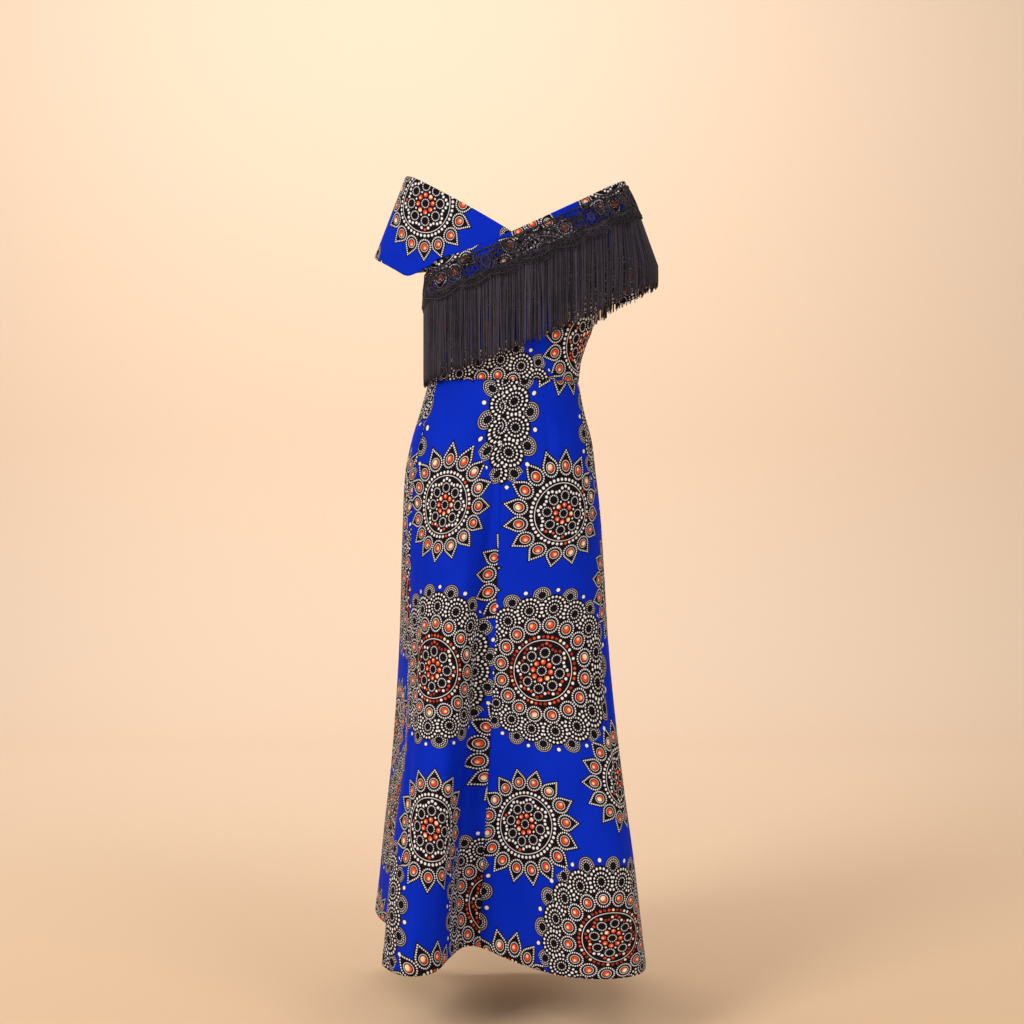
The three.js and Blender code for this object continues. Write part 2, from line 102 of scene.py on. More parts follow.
class Table:
    """A smooth reading of rows of numbers, the first column being what they are read by."""

    def __init__(self, names, rows, period=0):
        rows = np.array(sorted(rows), float)
        self.names = names.split()[1:]
        self.start = rows[0, 0]
        self.period = period
        if period:
            before, after = rows[-2:].copy(), rows[:3].copy()
            before[:, 0] -= period
            after[:, 0] += period
            rows = np.vstack([before, rows, after])
        at, values = rows[:, 0], rows[:, 1:]
        slopes = np.zeros_like(values)
        slopes[1:-1] = (values[2:] - values[:-2]) / (at[2:] - at[:-2])[:, None]
        if not period:
            slopes[0] = (values[1] - values[0]) / (at[1] - at[0])
            slopes[-1] = (values[-1] - values[-2]) / (at[-1] - at[-2])
        self.at, self.values, self.slopes = at, values, slopes

    def __call__(self, asked):
        asked = np.asarray(asked, float)
        if self.period:
            asked = self.start + np.mod(asked - self.start, self.period)
        asked = np.clip(asked, self.at[0], self.at[-1])
        i = np.clip(np.searchsorted(self.at, asked, side="right") - 1, 0, len(self.at) - 2)
        span = self.at[i + 1] - self.at[i]
        t = (asked - self.at[i]) / span
        out = {}
        for n, name in enumerate(self.names):
            v, s = self.values[:, n], self.slopes[:, n]
            out[name] = (
                v[i] * (2 * t**3 - 3 * t**2 + 1)
                + v[i + 1] * (3 * t**2 - 2 * t**3)
                + s[i] * span * (t**3 - 2 * t**2 + t)
                + s[i + 1] * span * (t**3 - t**2)
            )
        return out


TORSO = Table("z lean half back front square", [
    (-355, -15, 131, 86, 98, 2.3), (-310, -10, 133, 93, 106, 2.35), (-260, -2, 143, 101, 116, 2.5),
    (-215, 6, 152, 105, 121, 2.7), (-165, 8, 154, 106, 118, 2.8), (-110, 8, 155, 104, 110, 2.8),
    (-50, 6, 159, 100, 102, 2.6), (40, 5, 166, 94, 96, 2.4),
])
SKIRT = Table("z lean half back front square spread", [
    (-1320, -19, 170, 126, 114, 2.3, 1), (-1254, -19, 170, 126, 114, 2.3, 0.92),
    (-1156, -19, 170, 126, 114, 2.3, 0.79), (-1044, -19, 170, 126, 114, 2.3, 0.61),
    (-930, -19, 170, 126, 114, 2.3, 0.44), (-809, -19, 170, 126, 114, 2.3, 0.28),
    (-664, -19, 171, 127, 114, 2.3, 0.13), (-580, -19, 170, 127, 114, 2.3, 0.05),
    (-510, -20, 166, 124, 112, 2.3, 0), (-455, -18, 157, 114, 108, 2.3, 0),
    (-405, -17, 143, 99, 103, 2.3, 0), (-355, -15, 131, 86, 98, 2.3, 0),
])
HEM_EDGE = Table("turn x y rise", [
    (0, -55, -130, 15), (12, 8, -182, 4), (26, 80, -240, 0), (41, 150, -256, 0), (56, 204, -230, 0),
    (68, 219, -172, 0), (80, 212, -88, 0), (96, 204, 0, 0), (112, 219, 85, 0), (128, 208, 168, 0),
    (143, 156, 222, 0), (160, 85, 200, 4), (178, 5, 213, 0), (196, -80, 196, 4),
    (213, -160, 229, 0), (229, -228, 232, 0), (243, -254, 185, 0), (258, -240, 108, 0),
    (276, -210, 34, 2), (294, -197, -40, 4), (304, -208, -112, 0), (314, -211, -182, 0),
    (325, -170, -241, 0), (337, -124, -219, 0), (346, -102, -166, 8), (353, -82, -132, 15),
], period=360)
BODICE_TOP = Table("angle z", [(0, -122), (30, -125), (48, -146), (60, -170), (90, -176)])
WRAP_DEPTH = Table("angle depth", [
    (-90, 72), (-45, 78), (0, 88), (40, 128), (60, 168), (75, 186), (90, 151),
])
LEFT_BAND_TUCK = Table("angle tuck", [(-12, 44), (0, 26), (36, 14), (47, -1), (61, -3)])

# The solids' hem is a little rounder: this one follows the photo
LEFT_BAND_HEM = Table("angle back front", [
    (61, -155, -148), (66, -168, -149), (71, -177, -152), (75, -166, -148), (80, -153, -141),
    (90, -134, -134),
])


def smoothstep(x, low, high):
    t = np.clip((np.asarray(x, float) - low) / (high - low), 0, 1)
    return t * t * (3 - 2 * t)


def bell(off, width):
    return np.exp(-((off / width) ** 2))


def signed(angle):
    return np.mod(np.asarray(angle, float) + 180, 360) - 180


def from_centre(angle):
    return 90 - np.abs(np.abs(signed(angle)) - 90)


def section_radius(half, back, front, square, angle):
    """Distance from the centre line to a section's edge."""
    rad = np.radians(angle)
    across, along = np.abs(np.sin(rad)), np.cos(rad)
    depth = np.where(along > 0, back, front)
    return ((across / half) ** square + (np.abs(along) / depth) ** square) ** (-1 / square)


def polar(centre, radius, angle, z):
    rad = np.radians(angle)
    x = centre + radius * np.sin(rad)
    y = -radius * np.cos(rad)
    return np.stack(np.broadcast_arrays(x, y, np.asarray(z, float)), -1)


def torso_radius(angle, z):
    s = TORSO(z)
    off_front = 180 - np.abs(signed(angle))
    cup = bell(off_front - CUP["angle"], CUP["reach"]) * bell(z - CUP["z"], CUP["height"])
    plain = section_radius(s["half"], s["back"], s["front"], s["square"], angle)
    return plain + CUP["fullness"] * cup


def torso(angle, z):
    return polar(TORSO(z)["lean"], torso_radius(angle, z), angle, z)


def band_round(arm):
    def surface(angle, z):
        bare = torso_radius(angle, z)
        lean = TORSO(z)["lean"]
        on_side = signed(angle) * arm["side"] > 0
        peel = np.where(on_side, smoothstep(from_centre(angle), *PEEL), 0)
        tip_x, tip_z = arm["tip"]
        half = np.abs(tip_x - lean) + arm["flare"] * (tip_z - np.maximum(z, arm["lowest"]))
        round_arm = section_radius(half, arm["depth"], arm["depth"] + ARM_FRONT, ELLIPSE, angle)
        radius = bare + peel * (np.maximum(bare, round_arm) - bare)
        return polar(lean, radius, angle, z)

    return surface


left_band = band_round(LEFT_ARM)
wrap_band = band_round(RIGHT_ARM)


def skirt(turn, z):
    s = SKIRT(z)
    edge = HEM_EDGE(turn)
    radius = section_radius(s["half"], s["back"], s["front"], s["square"], turn)
    plain = polar(s["lean"], radius, turn, z)
    folded = np.stack(np.broadcast_arrays(edge["x"], edge["y"], z + edge["rise"]), -1)
    return plain + s["spread"][..., None] * (folded - plain)


def unit(vectors, tiny=0.0):
    return vectors / (np.linalg.norm(vectors, axis=-1, keepdims=True) + tiny)


def outward(surface, a, b, step=0.25):
    """The unit direction straight out of a surface."""
    sideways = surface(a + step, b) - surface(a - step, b)
    up = surface(a, b + step) - surface(a, b - step)
    return unit(np.cross(sideways, up))


def walked(path):
    """The length walked to each point of a path."""
    return np.concatenate([[0], np.cumsum(np.linalg.norm(np.diff(path, axis=0), axis=1))])


def wrap_top_at(x):
    right = (RIGHT_TIP[1] - V_POINT) / RIGHT_TIP[0]
    left = (LEFT_UNDERARM[1] - V_POINT) / LEFT_UNDERARM[0]
    bend = (right - left) / (RIGHT_TIP[0] - LEFT_UNDERARM[0])
    return V_POINT + (right - bend * RIGHT_TIP[0]) * x + bend * x * x


def left_top_at(x):
    return V_POINT + (LEFT_TIP[1] - V_POINT) * x / LEFT_TIP[0]


def edge_on(surface, height_at, angle, rounds=12):
    """The height at which an edge given by x crosses a surface's upright line at each angle."""
    z = np.full(np.shape(angle), float(V_POINT))
    for _ in range(rounds):
        z = height_at(surface(angle, z)[..., 0])
    return z


def wrap_top(angle):
    return edge_on(wrap_band, wrap_top_at, angle)


def left_top(angle):
    return edge_on(left_band, left_top_at, angle)


def bodice_top(angle):
    return BODICE_TOP(from_centre(angle))["z"]


def wrap_bottom(angle):
    return wrap_top(angle) - WRAP_DEPTH(np.sign(signed(angle)) * from_centre(angle))["depth"]


def left_bottom(angle):
    off = np.where(signed(angle) < 0, from_centre(angle), -from_centre(angle))
    hem = LEFT_BAND_HEM(off)
    low = np.where(np.abs(signed(angle)) > 90, hem["front"], hem["back"])
    return np.where(off < LEFT_BAND_HEM.at[0], wrap_top(angle) - LEFT_BAND_TUCK(off)["tuck"], low)


# Meshes

LEVELS = 50
ROLL = 0.35
ROLL_WIDTH = 1.6
CORD_SIDES = 6
CORD_UV = 0.9
TINY = 1e-9
pieces = {}


def make_mesh(name, points, faces, uvs, material, piece_slot):
    """An object of quads: its points in millimetres, and for each of them a print place in metres."""
    mesh = bpy.data.meshes.new(name)
    faces = np.asarray(faces, np.int32)
    mesh.vertices.add(len(points))
    mesh.vertices.foreach_set("co", (np.asarray(points) * MM).astype(np.float32).ravel())
    mesh.loops.add(faces.size)
    mesh.loops.foreach_set("vertex_index", faces.ravel())
    mesh.polygons.add(len(faces))
    mesh.polygons.foreach_set("loop_start", np.arange(0, faces.size, faces.shape[1], dtype=np.int32))
    mesh.update(calc_edges=True)
    layer = mesh.uv_layers.new(name="cloth")
    layer.data.foreach_set("uv", np.asarray(uvs, np.float32)[faces.ravel()].ravel())
    mesh.polygons.foreach_set("use_smooth", np.ones(len(faces), bool))
    mesh.validate()
    mesh.materials.append(material)
    thing = add_object(name, mesh)
    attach(thing, "root")
    return thing


def arc_lengths(points, axis, start):
    """Length along a grid of points in one direction, from the given row or column."""
    steps = np.linalg.norm(np.diff(points, axis=axis), axis=-1)
    pad = [(0, 0), (0, 0)]
    pad[axis] = (1, 0)
    total = np.pad(np.cumsum(steps, axis=axis), pad)
    return total - np.take(total, [start], axis=axis)


def level_lengths(surface, angles, z, origin):
    """Length along a surface at an unchanging height, for a grid of points, from the origin's column."""
    levels = np.linspace(z.min(), z.max(), LEVELS)
    lengths = arc_lengths(surface(angles[:, None], levels[None, :]), 0, origin)
    return np.stack([np.interp(heights, levels, length) for heights, length in zip(z, lengths)])


def square_to_top(level, z):
    """Lengths along a panel's top edge and square down from it, with the cloth laid flat."""
    edge = np.stack([level[:, 0], z[:, 0]], -1)
    way = walked(edge)
    way -= np.interp(0, level[:, 0], way)
    point = np.stack([level, z], -1)[..., None, :]
    nearest = ((point - edge) ** 2).sum(-1).argmin(-1)
    off = point[..., 0, :] - edge[nearest]
    ahead = unit(np.gradient(edge, axis=0))[nearest]
    return way[nearest] + (off * ahead).sum(-1), ahead[..., 1] * off[..., 0] - ahead[..., 0] * off[..., 1]


def sheet_faces(shape):
    """Quads of a grid of outer points, of the inner points that follow them, and of the rim between."""
    ids = np.arange(shape[0] * shape[1]).reshape(shape)
    face = np.stack([ids[:-1, :-1], ids[:-1, 1:], ids[1:, 1:], ids[1:, :-1]], -1).reshape(-1, 4)
    loop = np.concatenate([ids[0, :], ids[1:, -1], ids[-1, -2::-1], ids[-2:0:-1, 0]])
    after = np.roll(loop, -1)
    rim = np.stack([loop, loop + ids.size, after + ids.size, after], -1)
    return np.concatenate([face, face[:, ::-1] + ids.size, rim])


def shell(name, surface, angles, rows, top, bottom, lift, thickness, place, details, origin, material):
    """Keeps a panel of cloth in pieces: a fine grid on a surface and an inner face, closed round its edges.
    place turns lengths on the cloth into a place in the print. details moves points along the normal."""
    high, low = top(angles)[:, None], bottom(angles)[:, None]
    z = high + (low - high) * np.linspace(0, 1, rows + 1)
    a = np.broadcast_to(angles[:, None], z.shape)
    base = surface(a, z)
    normal = outward(surface, a, z)
    down = arc_lengths(base, 1, 0)
    along = arc_lengths(base, 0, origin)
    relief = details(base, along, down)
    edge = np.minimum.reduce([along - along[:1], along[-1:] - along, down, down[:, -1:] - down])
    rolled = ROLL * thickness * (1 - smoothstep(edge, 0, ROLL_WIDTH))
    outer = base + normal * (lift + relief - rolled)[..., None]
    inner = base + normal * (lift + relief - thickness + rolled)[..., None]
    uv = place(along, down, level_lengths(surface, angles, z, origin), z)
    points = np.concatenate([outer.reshape(-1, 3), inner.reshape(-1, 3)])
    uvs = np.concatenate([uv.reshape(-1, 2)] * 2)
    thing = make_mesh(name + "_cloth", points, sheet_faces(z.shape), uvs, material, "print_cotton")
    crossed = np.cross(base[1:, 1:] - base[:-1, :-1], base[1:, :-1] - base[:-1, 1:])
    area = np.linalg.norm(crossed, axis=-1).sum() / 2 * MM * MM
    pieces[name] = thing, area, along, down


def tubes(paths, normals, radii):
    """Six-sided cords along paths, as one set of points and faces. Each point of a path has a direction out.
    The print place holds the cord's own number across, and the length walked along it."""
    points, faces, uvs, first = [], [], [], 0
    turn = np.arange(CORD_SIDES) * 2 * math.pi / CORD_SIDES
    for number, (path, out, radius) in enumerate(zip(paths, normals, radii)):
        ahead = unit(np.gradient(path, axis=0), TINY)
        side = unit(np.cross(ahead, out), TINY)
        up = np.cross(side, ahead)
        spokes = np.cos(turn)[:, None] * side[:, None] + np.sin(turn)[:, None] * up[:, None]
        ring = path[:, None] + radius * spokes
        ids = first + np.arange(ring.shape[0] * CORD_SIDES).reshape(-1, CORD_SIDES)
        right = np.roll(ids, -1, axis=1)
        faces.append(np.stack([ids[:-1], right[:-1], right[1:], ids[1:]], -1).reshape(-1, 4))
        for cap in (ids[0][::-1], ids[-1]):
            faces.append(cap[[[0, 1, 2, 3], [0, 3, 4, 5]]])
        across = number + turn / TAU * CORD_UV
        uvs.append(np.stack(np.broadcast_arrays(across, walked(path)[:, None] * MM), -1).reshape(-1, 2))
        points.append(ring.reshape(-1, 3))
        first += ids.size
    return np.concatenate(points), np.concatenate(faces), np.concatenate(uvs)


# Materials


def math_node(operation):
    return lambda field, other: field.call(operation, other)


class Field:
    """A number at each point of a material, worked out by Math nodes."""

    def __init__(self, tree, socket):
        self.tree = tree
        self.socket = socket

    def call(self, operation, *others):
        node = self.tree.nodes.new("ShaderNodeMath")
        node.operation = operation
        for socket, value in zip(node.inputs, (self, *others)):
            if isinstance(value, Field):
                self.tree.links.new(value.socket, socket)
            else:
                socket.default_value = value
        return Field(self.tree, node.outputs[0])

    __add__ = math_node("ADD")
    __sub__ = math_node("SUBTRACT")
    __mul__ = math_node("MULTIPLY")
    __truediv__ = math_node("DIVIDE")
    max = math_node("MAXIMUM")
    min = math_node("MINIMUM")
    above = math_node("GREATER_THAN")

    def __rsub__(self, other):
        return (self * -1) + other

    def hypot(self, other):
        return (self * self + other * other).call("SQRT")

    def mix(self, other, share):
        """This value where share is 0, and the other where it is 1."""
        return self + (other - self) * share

    def clamp(self):
        self.socket.node.use_clamp = True
        return self

    def mask(self, softness=0.5):
        """From 0 outside a shape to 1 inside it, over a soft edge."""
        return (self / softness + 0.5).clamp()


def new_material(name, **settings):
    material = bpy.data.materials.new(name)
    material.use_nodes = True
    shader = material.node_tree.nodes["Principled BSDF"]
    for key, value in settings.items():
        shader.inputs[key.replace("_", " ")].default_value = value
    return material, material.node_tree, shader


def cloth_uv(tree):
    """The two print places of a material in millimetres, as fields."""
    uv = tree.nodes.new("ShaderNodeUVMap")
    uv.uv_map = "cloth"
    split = tree.nodes.new("ShaderNodeSeparateXYZ")
    tree.links.new(uv.outputs[0], split.inputs[0])
    return Field(tree, split.outputs[0]) * 1000, Field(tree, split.outputs[1]) * 1000


def srgb(r, g, b):
    """A colour given as on screen, from 0 to 255, as light."""
    shares = [c / 255 for c in (r, g, b)]
    return tuple(c / 12.92 if c <= 0.04045 else ((c + 0.055) / 1.055) ** 2.4 for c in shares) + (1,)


MIX_LOW, MIX_HIGH, MIX_RESULT = 6, 7, 2


def mix_colour(share, low, high):
    tree = share.tree
    node = tree.nodes.new("ShaderNodeMix")
    node.data_type = "RGBA"
    tree.links.new(share.socket, node.inputs["Factor"])
    for socket, value in ((MIX_LOW, low), (MIX_HIGH, high)):
        if isinstance(value, tuple):
            node.inputs[socket].default_value = value
        else:
            tree.links.new(value, node.inputs[socket])
    return node.outputs[MIX_RESULT]


def noise_at(tree, vector, scale, detail=2.0):
    node = tree.nodes.new("ShaderNodeTexNoise")
    node.inputs["Scale"].default_value = scale
    node.inputs["Detail"].default_value = detail
    tree.links.new(vector, node.inputs["Vector"])
    return Field(tree, node.outputs["Fac"])


def random_at(*numbers):
    """A random number from 0 to 1 for each set of up to three numbers."""
    tree = numbers[0].tree
    join = tree.nodes.new("ShaderNodeCombineXYZ")
    for socket, value in zip(join.inputs, numbers):
        tree.links.new(value.socket, socket)
    node = tree.nodes.new("ShaderNodeTexWhiteNoise")
    node.noise_dimensions = "3D"
    tree.links.new(join.outputs[0], node.inputs["Vector"])
    return Field(tree, node.outputs["Value"])


def bump(shader, height, strength, distance):
    tree = height.tree
    node = tree.nodes.new("ShaderNodeBump")
    node.inputs["Strength"].default_value = strength
    node.inputs["Distance"].default_value = distance
    tree.links.new(height.socket, node.inputs["Height"])
    tree.links.new(node.outputs[0], shader.inputs["Normal"])


# The print: medallions in a half-drop repeat. Each column holds one large scalloped medallion and two
# smaller pointed ones in turn, and the next column is shifted by a row and a half. The left band's columns
# lie further apart.

COLUMN = 167.5
WIDE_COLUMN = 235.0
ROW = 267.0
SHIFT_ROWS = 1.5
POINTED = 95.0
SCALLOPED = 131.0
TWIST = math.radians(5)
THREAD_PITCH = 0.7


def ring(r, turn, radius, count, size, phase=0.0):
    """How far inside the nearest dot of a ring of dots a point lies, and which dot it is."""
    at = turn * (count / TAU) + phase
    index = at.call("ROUND")
    aside = (at - index) * (TAU * radius / count)
    return size - (r - radius).hypot(aside), index


def dots(r, turn, *rings):
    """Some rings of dots together, each given by its radius, the count of its dots and their size."""
    return functools.reduce(Field.max, [ring(r, turn, *numbers)[0] for numbers in rings])


def line_ring(r, radius, half_width):
    return half_width - (r - radius).call("ABSOLUTE")


def around(side, out, circle):
    """Distance and direction from the nearest of some points on a circle."""
    off = out - circle
    return side.hypot(off), side.call("ARCTAN2", off)


def print_material(name, column_width):
    material, tree, shader = new_material(name, Roughness=0.75, Specular_IOR_Level=0.07)
    u, v = cloth_uv(tree)
    found = []
    for parity in (0, 1):
        start = parity * column_width
        column = ((u - start) / (2 * column_width)).call("ROUND") * (2 * column_width) + start
        shift = parity * SHIFT_ROWS * ROW
        row = ((v - shift) / ROW).call("ROUND")
        large = (0.5 - row.call("FLOORED_MODULO", 3.0)).above(0.0)
        x = u - column
        y = v - (row * ROW + shift)
        score = x.hypot(y) - (large * (SCALLOPED - POINTED) + POINTED)
        seed = column + row * 7.3
        found.append([x, y, large, seed, score])
    even, odd = found
    on_odd = even[4].above(odd[4])
    x, y, large, seed = [a.mix(b, on_odd) for a, b in zip(even[:4], odd)]

    # All medallions are drawn a little narrower, and the pointed ones a little longer too
    x = x * 1.03
    y = y * (large * 0.045 + 0.955)
    r = x.hypot(y)
    turn = x.call("ARCTAN2", y * -1) - TWIST

    def sector(count, phase=0.0):
        """A point's place from the middle of its sector, sideways and outwards, and the sector's number."""
        at = turn * (count / TAU) + phase
        index = at.call("ROUND")
        angle = (at - index) * (TAU / count)
        return r * angle.call("SINE"), r * angle.call("COSINE"), index

    side16, out16, bead_index = sector(16)
    side_half, out_half, _ = sector(16, 0.5)
    side8, out8, _ = sector(8)

    # The beads, their rings and the dotted outline round each: a teardrop, or a circle in the large medallion
    bead_circle, bead_size, bead_line_radius = 72.3, 5.2, 7.3
    reach, point = 12.2, 20.5
    lean = math.asin(reach / point)
    bead_out = out16 - bead_circle
    bead_r = side16.hypot(bead_out)
    side_abs = side16.call("ABSOLUTE")
    beyond = bead_out * math.cos(lean) - side_abs * math.sin(lean)
    on_side = beyond.above(0.0) * (1 - large)
    distance = bead_r.mix(side_abs * math.cos(lean) + bead_out * math.sin(lean), on_side)
    round_way = side_abs.call("ARCTAN2", bead_out * -1) * reach
    rounded = reach * (math.pi / 2 + lean)
    way = round_way.mix(beyond + rounded, on_side)
    half_dots, dot_step, dot_size = 12.5, 4.2, 1.3
    way = way / ((rounded + point * math.cos(lean)) / half_dots) - 0.5
    way_off = (way - way.call("ROUND")) * dot_step
    outline = dot_size - (distance - reach).hypot(way_off)
    beads = bead_size - bead_r
    bead_line = line_ring(bead_r, bead_line_radius, 0.4)

    # The core, the same in both
    coloured_circle = 14.2
    coloured, coloured_index = ring(r, turn, coloured_circle, count=8, size=3.9)
    core_dots = dots(r, turn, (7.0, 13, 0.95), (20.2, 8, 1.6, 0.5))
    disc_dots = dots(*around(side8, out8, circle=29.0), (7.4, 15, 0.95))
    chain_dots, chain_radius, chain_sway, mark_size = 40, 40, 3.6, 2.3
    at = turn * (chain_dots / TAU)
    chain_index = at.call("ROUND")
    chain_centre = (chain_index * (TAU / 5)).call("COSINE") * chain_sway + 39.8
    chain_aside = (at - chain_index) * (TAU * chain_radius / chain_dots)
    chain = mark_size - (r - chain_centre).hypot(chain_aside)
    line = line_ring(r, 48.3, 0.5)
    outer, outer_index = ring(r, turn, radius=53.6, count=46, size=mark_size)

    # The large medallion's fans of dotted arcs, its scallops and single dots
    fan_room, bead_room, single_size = 22.8, 15.0, 3.0
    fan_r, fan_turn = around(side16, out16, circle=98.0)
    fans = dots(fan_r, fan_turn, (6.8, 12, 0.95), (12.4, 16, 1.45), (18.8, 19, 1.85))
    fans = fans.min(bead_r - bead_room)
    scallop_r, scallop_turn = around(side_half, out_half, circle=120.0)
    scallops = dots(scallop_r, scallop_turn, (6.8, 13, 0.8), (9.9, 19, 0.9)).min(fan_r - fan_room)
    single_r, _ = around(side16, out16, circle=128.0)
    single = single_size - single_r

    # What is white, rusty or black. The black lies in discs and teardrops, given by their radii
    none = -5.0
    extras = (fans.max(scallops).max(single) - none) * large + none
    rusty = (line_ring(scallop_r, 13.0, 0.5).min(fan_r - fan_room) - none) * large + none
    white = core_dots.max(disc_dots).max(line).max(outline).max(bead_line).max(extras)
    dark_pointed = (66.0 - r).max(15.4 - distance)
    dark_scalloped = (112.0 - r).max(15.0 - scallop_r).max(23.4 - fan_r).max(4.4 - single_r)
    dark = dark_pointed.mix(dark_scalloped, large).mask(0.7)
    marks = chain.max(outer)

    cloth = tree.nodes["UV Map"].outputs[0]
    blue = mix_colour(noise_at(tree, cloth, scale=9.0, detail=3.0), srgb(0, 32, 168), srgb(3, 47, 200))
    black = srgb(20, 13, 18)
    dusty = srgb(184, 160, 150)
    pale = srgb(236, 230, 228)
    orange = srgb(226, 74, 30)
    cream = srgb(250, 218, 176)
    rust = srgb(158, 52, 30)

    # The chain's and the outer ring's marks: two in three are warm in the large medallion, and few elsewhere
    chain_ends, apart = 46.0, 60
    mark_index = (chain_index + apart).mix(outer_index, r.above(chain_ends))
    mark_random = random_at(mark_index, seed, large)
    warm_from, warm_from_pointed, orange_from, cream_from = 0.32, 0.95, 0.6, 0.86
    warm = (mark_random.above(warm_from) * large).max(mark_random.above(warm_from_pointed))
    mark_colour = mix_colour(mark_random.above(orange_from), rust, orange)
    mark_colour = mix_colour(mark_random.above(cream_from) * large, mark_colour, cream)
    mark_colour = mix_colour(warm, pale, mark_colour)

    def jewel(side, out, size, random):
        """Orange with a cream highlight to one side, as a bead catches the light. A few are mostly cream."""
        glint = 0.62 - (side / size + 0.28).hypot(out / size - random * 0.5) + random.above(0.8) * 0.5
        return mix_colour((glint / 0.45).clamp(), orange, cream)

    bead_colour = jewel(side16, bead_out, bead_size, random_at(bead_index, seed, large))
    core_random = random_at(coloured_index, seed, large)
    core_colour = jewel(side8, out8 - coloured_circle, 3.7, core_random)

    colour = mix_colour(dark, blue, black)
    shapes = (rusty, white, marks, coloured, beads)
    for shape, paint in zip(shapes, (dusty, pale, mark_colour, core_colour, bead_colour)):
        colour = mix_colour(shape.mask(), colour, paint)
    tree.links.new(colour, shader.inputs["Base Color"])

    threads = (u * (TAU / THREAD_PITCH)).call("SINE") * (v * (TAU / THREAD_PITCH)).call("SINE")
    slubs = noise_at(tree, cloth, scale=260.0)
    bump(shader, threads * 0.5 + slubs, strength=0.3, distance=0.0002)
    return material


def cord_material(name, colour, roughness, pitch):
    """A black twisted or chained thread: bands across it, and a brightness of its own for each thread, partly
    random tone and partly painted highlight and painted shade.
    """
    material, tree, shader = new_material(
        name, Roughness=roughness, Sheen_Weight=0.05, Sheen_Roughness=0.35, Specular_IOR_Level=0.35
    )
    u, v = cloth_uv(tree)
    twist = (v * (TAU / pitch) + u * (TAU / 1000)).call("SINE")
    place = tree.nodes.new("ShaderNodeTexCoord").outputs["Object"]
    patchy = noise_at(tree, place, scale=70.0)
    own = random_at((u / 1000).call("FLOOR"))
    # Each thread's brightness is partly random tone and partly painted light: the brightest threads carry a
    # painted highlight and the darkest a painted shade, with lighter and darker bands along the twist.
    tone_and_painted_light = (twist * 0.12 + patchy * 0.5 + own * own * 0.9 - 0.15).clamp()
    low, high = [tuple(c * factor for c in colour[:3]) + (1,) for factor in (0.12, 2.8)]
    tree.links.new(mix_colour(tone_and_painted_light, low, high), shader.inputs["Base Color"])
    bump(shader, twist, strength=0.6, distance=0.0003)
    return material


PRINT = print_material("print_cotton", COLUMN)
WIDE_PRINT = print_material("print_cotton_wide", WIDE_COLUMN)
LACE = cord_material("black_lace", srgb(40, 33, 42), roughness=0.7, pitch=1.6)
FRINGE = cord_material("black_fringe", srgb(42, 35, 46), roughness=0.5, pitch=2.4)


# Cloth panels: their folds and sewing

CREASE_BEND = 0.06
SEAM_FADE = 24
BODICE_FADE = 14
WAIST_FADE = 16
WAIST_GROOVE = 0.7
WAIST_GROOVE_WIDTH = 2.0
GATHER = 0.45
SKIRT_HEM = 22
BAND_TOP_STITCH = 7
STITCH_WIDTH = 0.9
PULL_REACH = 0.12
EASE_DEPTH = 0.2


def creases(rows):
    """Soft straight troughs and ridges. Each row is the x and z of its two ends, how wide it is and how high:
    below 0 a trough."""

    def relief(base):
        x, z = base[..., 0], base[..., 2]
        total = np.zeros(x.shape)
        for x0, z0, x1, z1, width, height in rows:
            run = np.array([x1 - x0, z1 - z0], float)
            length = np.hypot(*run)
            t = ((x - x0) * run[0] + (z - z0) * run[1]) / length**2
            off = ((x - x0) * -run[1] + (z - z0) * run[0]) / length
            fade = smoothstep(t, -0.1, 0.3) * smoothstep(1 - t, -0.1, 0.3)
            bend = CREASE_BEND * length * np.sin(np.clip(t, 0, 1) * math.pi)
            total += height * bell(off - bend, width) * fade
        return total

    return relief


def folds(tables):
    """Soft folds that run down a skirt panel. Each row of a table is a place down and along the cloth, how
    wide the fold is there and how high: below 0 a trough."""
    tables = [Table("down along width height", rows) for rows in tables]

    def relief(along, down):
        total = np.zeros(along.shape)
        for table in tables:
            fold = table(down)
            total += fold["height"] * bell(along - fold["along"], fold["width"])
        return total

    return relief


def seam_pull(off, down):
    """A stitched seam's groove and the small puckers beside it."""
    return 0.22 * np.sin(down / 9.0) * bell(off, 9) - 0.55 * bell(off, 1.5)


def turned_hem(up, hem, step, stitch):
    """The step at a hem's turned edge, and the row of stitches along it."""
    return step * (1 - smoothstep(up, hem - 1, hem + 1)) - stitch * bell(up - hem, STITCH_WIDTH)


def skirt_details(own, centre):
    """A panel's own folds, which end at its seams, those it shares across the centre back, and its sewing."""
    own, centre = folds(own), folds(centre)

    def relief(base, along, down):
        left, right = along - along[:1], along[-1:] - along
        total = own(along, down) * smoothstep(left, 0, SEAM_FADE) * smoothstep(right, 0, SEAM_FADE)
        total = (total + centre(along, down)) * smoothstep(down, 0, WAIST_FADE)
        total += seam_pull(left, down) + seam_pull(right, down)
        total -= WAIST_GROOVE * bell(down, WAIST_GROOVE_WIDTH)
        total += GATHER * np.sin(along / 7.5 + np.sin(along / 31)) * bell(down - 15, 14)
        return total + turned_hem(down[:, -1:] - down, SKIRT_HEM, 0.45, 0.5)

    return relief


def body_details(rows):
    soft = creases(rows)

    def relief(base, along, down):
        left, right = along - along[:1], along[-1:] - along
        up = down[:, -1:] - down
        total = soft(base) * smoothstep(left, 0, BODICE_FADE) * smoothstep(right, 0, BODICE_FADE)
        total = total * smoothstep(up, 0, 12) + seam_pull(left, down) + seam_pull(right, down)
        return total - WAIST_GROOVE * bell(up, WAIST_GROOVE_WIDTH)

    return relief


def band_details(rows, hem):
    soft = creases(rows)

    def relief(base, along, down):
        total = soft(base) - 0.5 * bell(down - BAND_TOP_STITCH, STITCH_WIDTH)
        return total + turned_hem(down[:, -1:] - down, hem, 0.4, 0.4)

    return relief


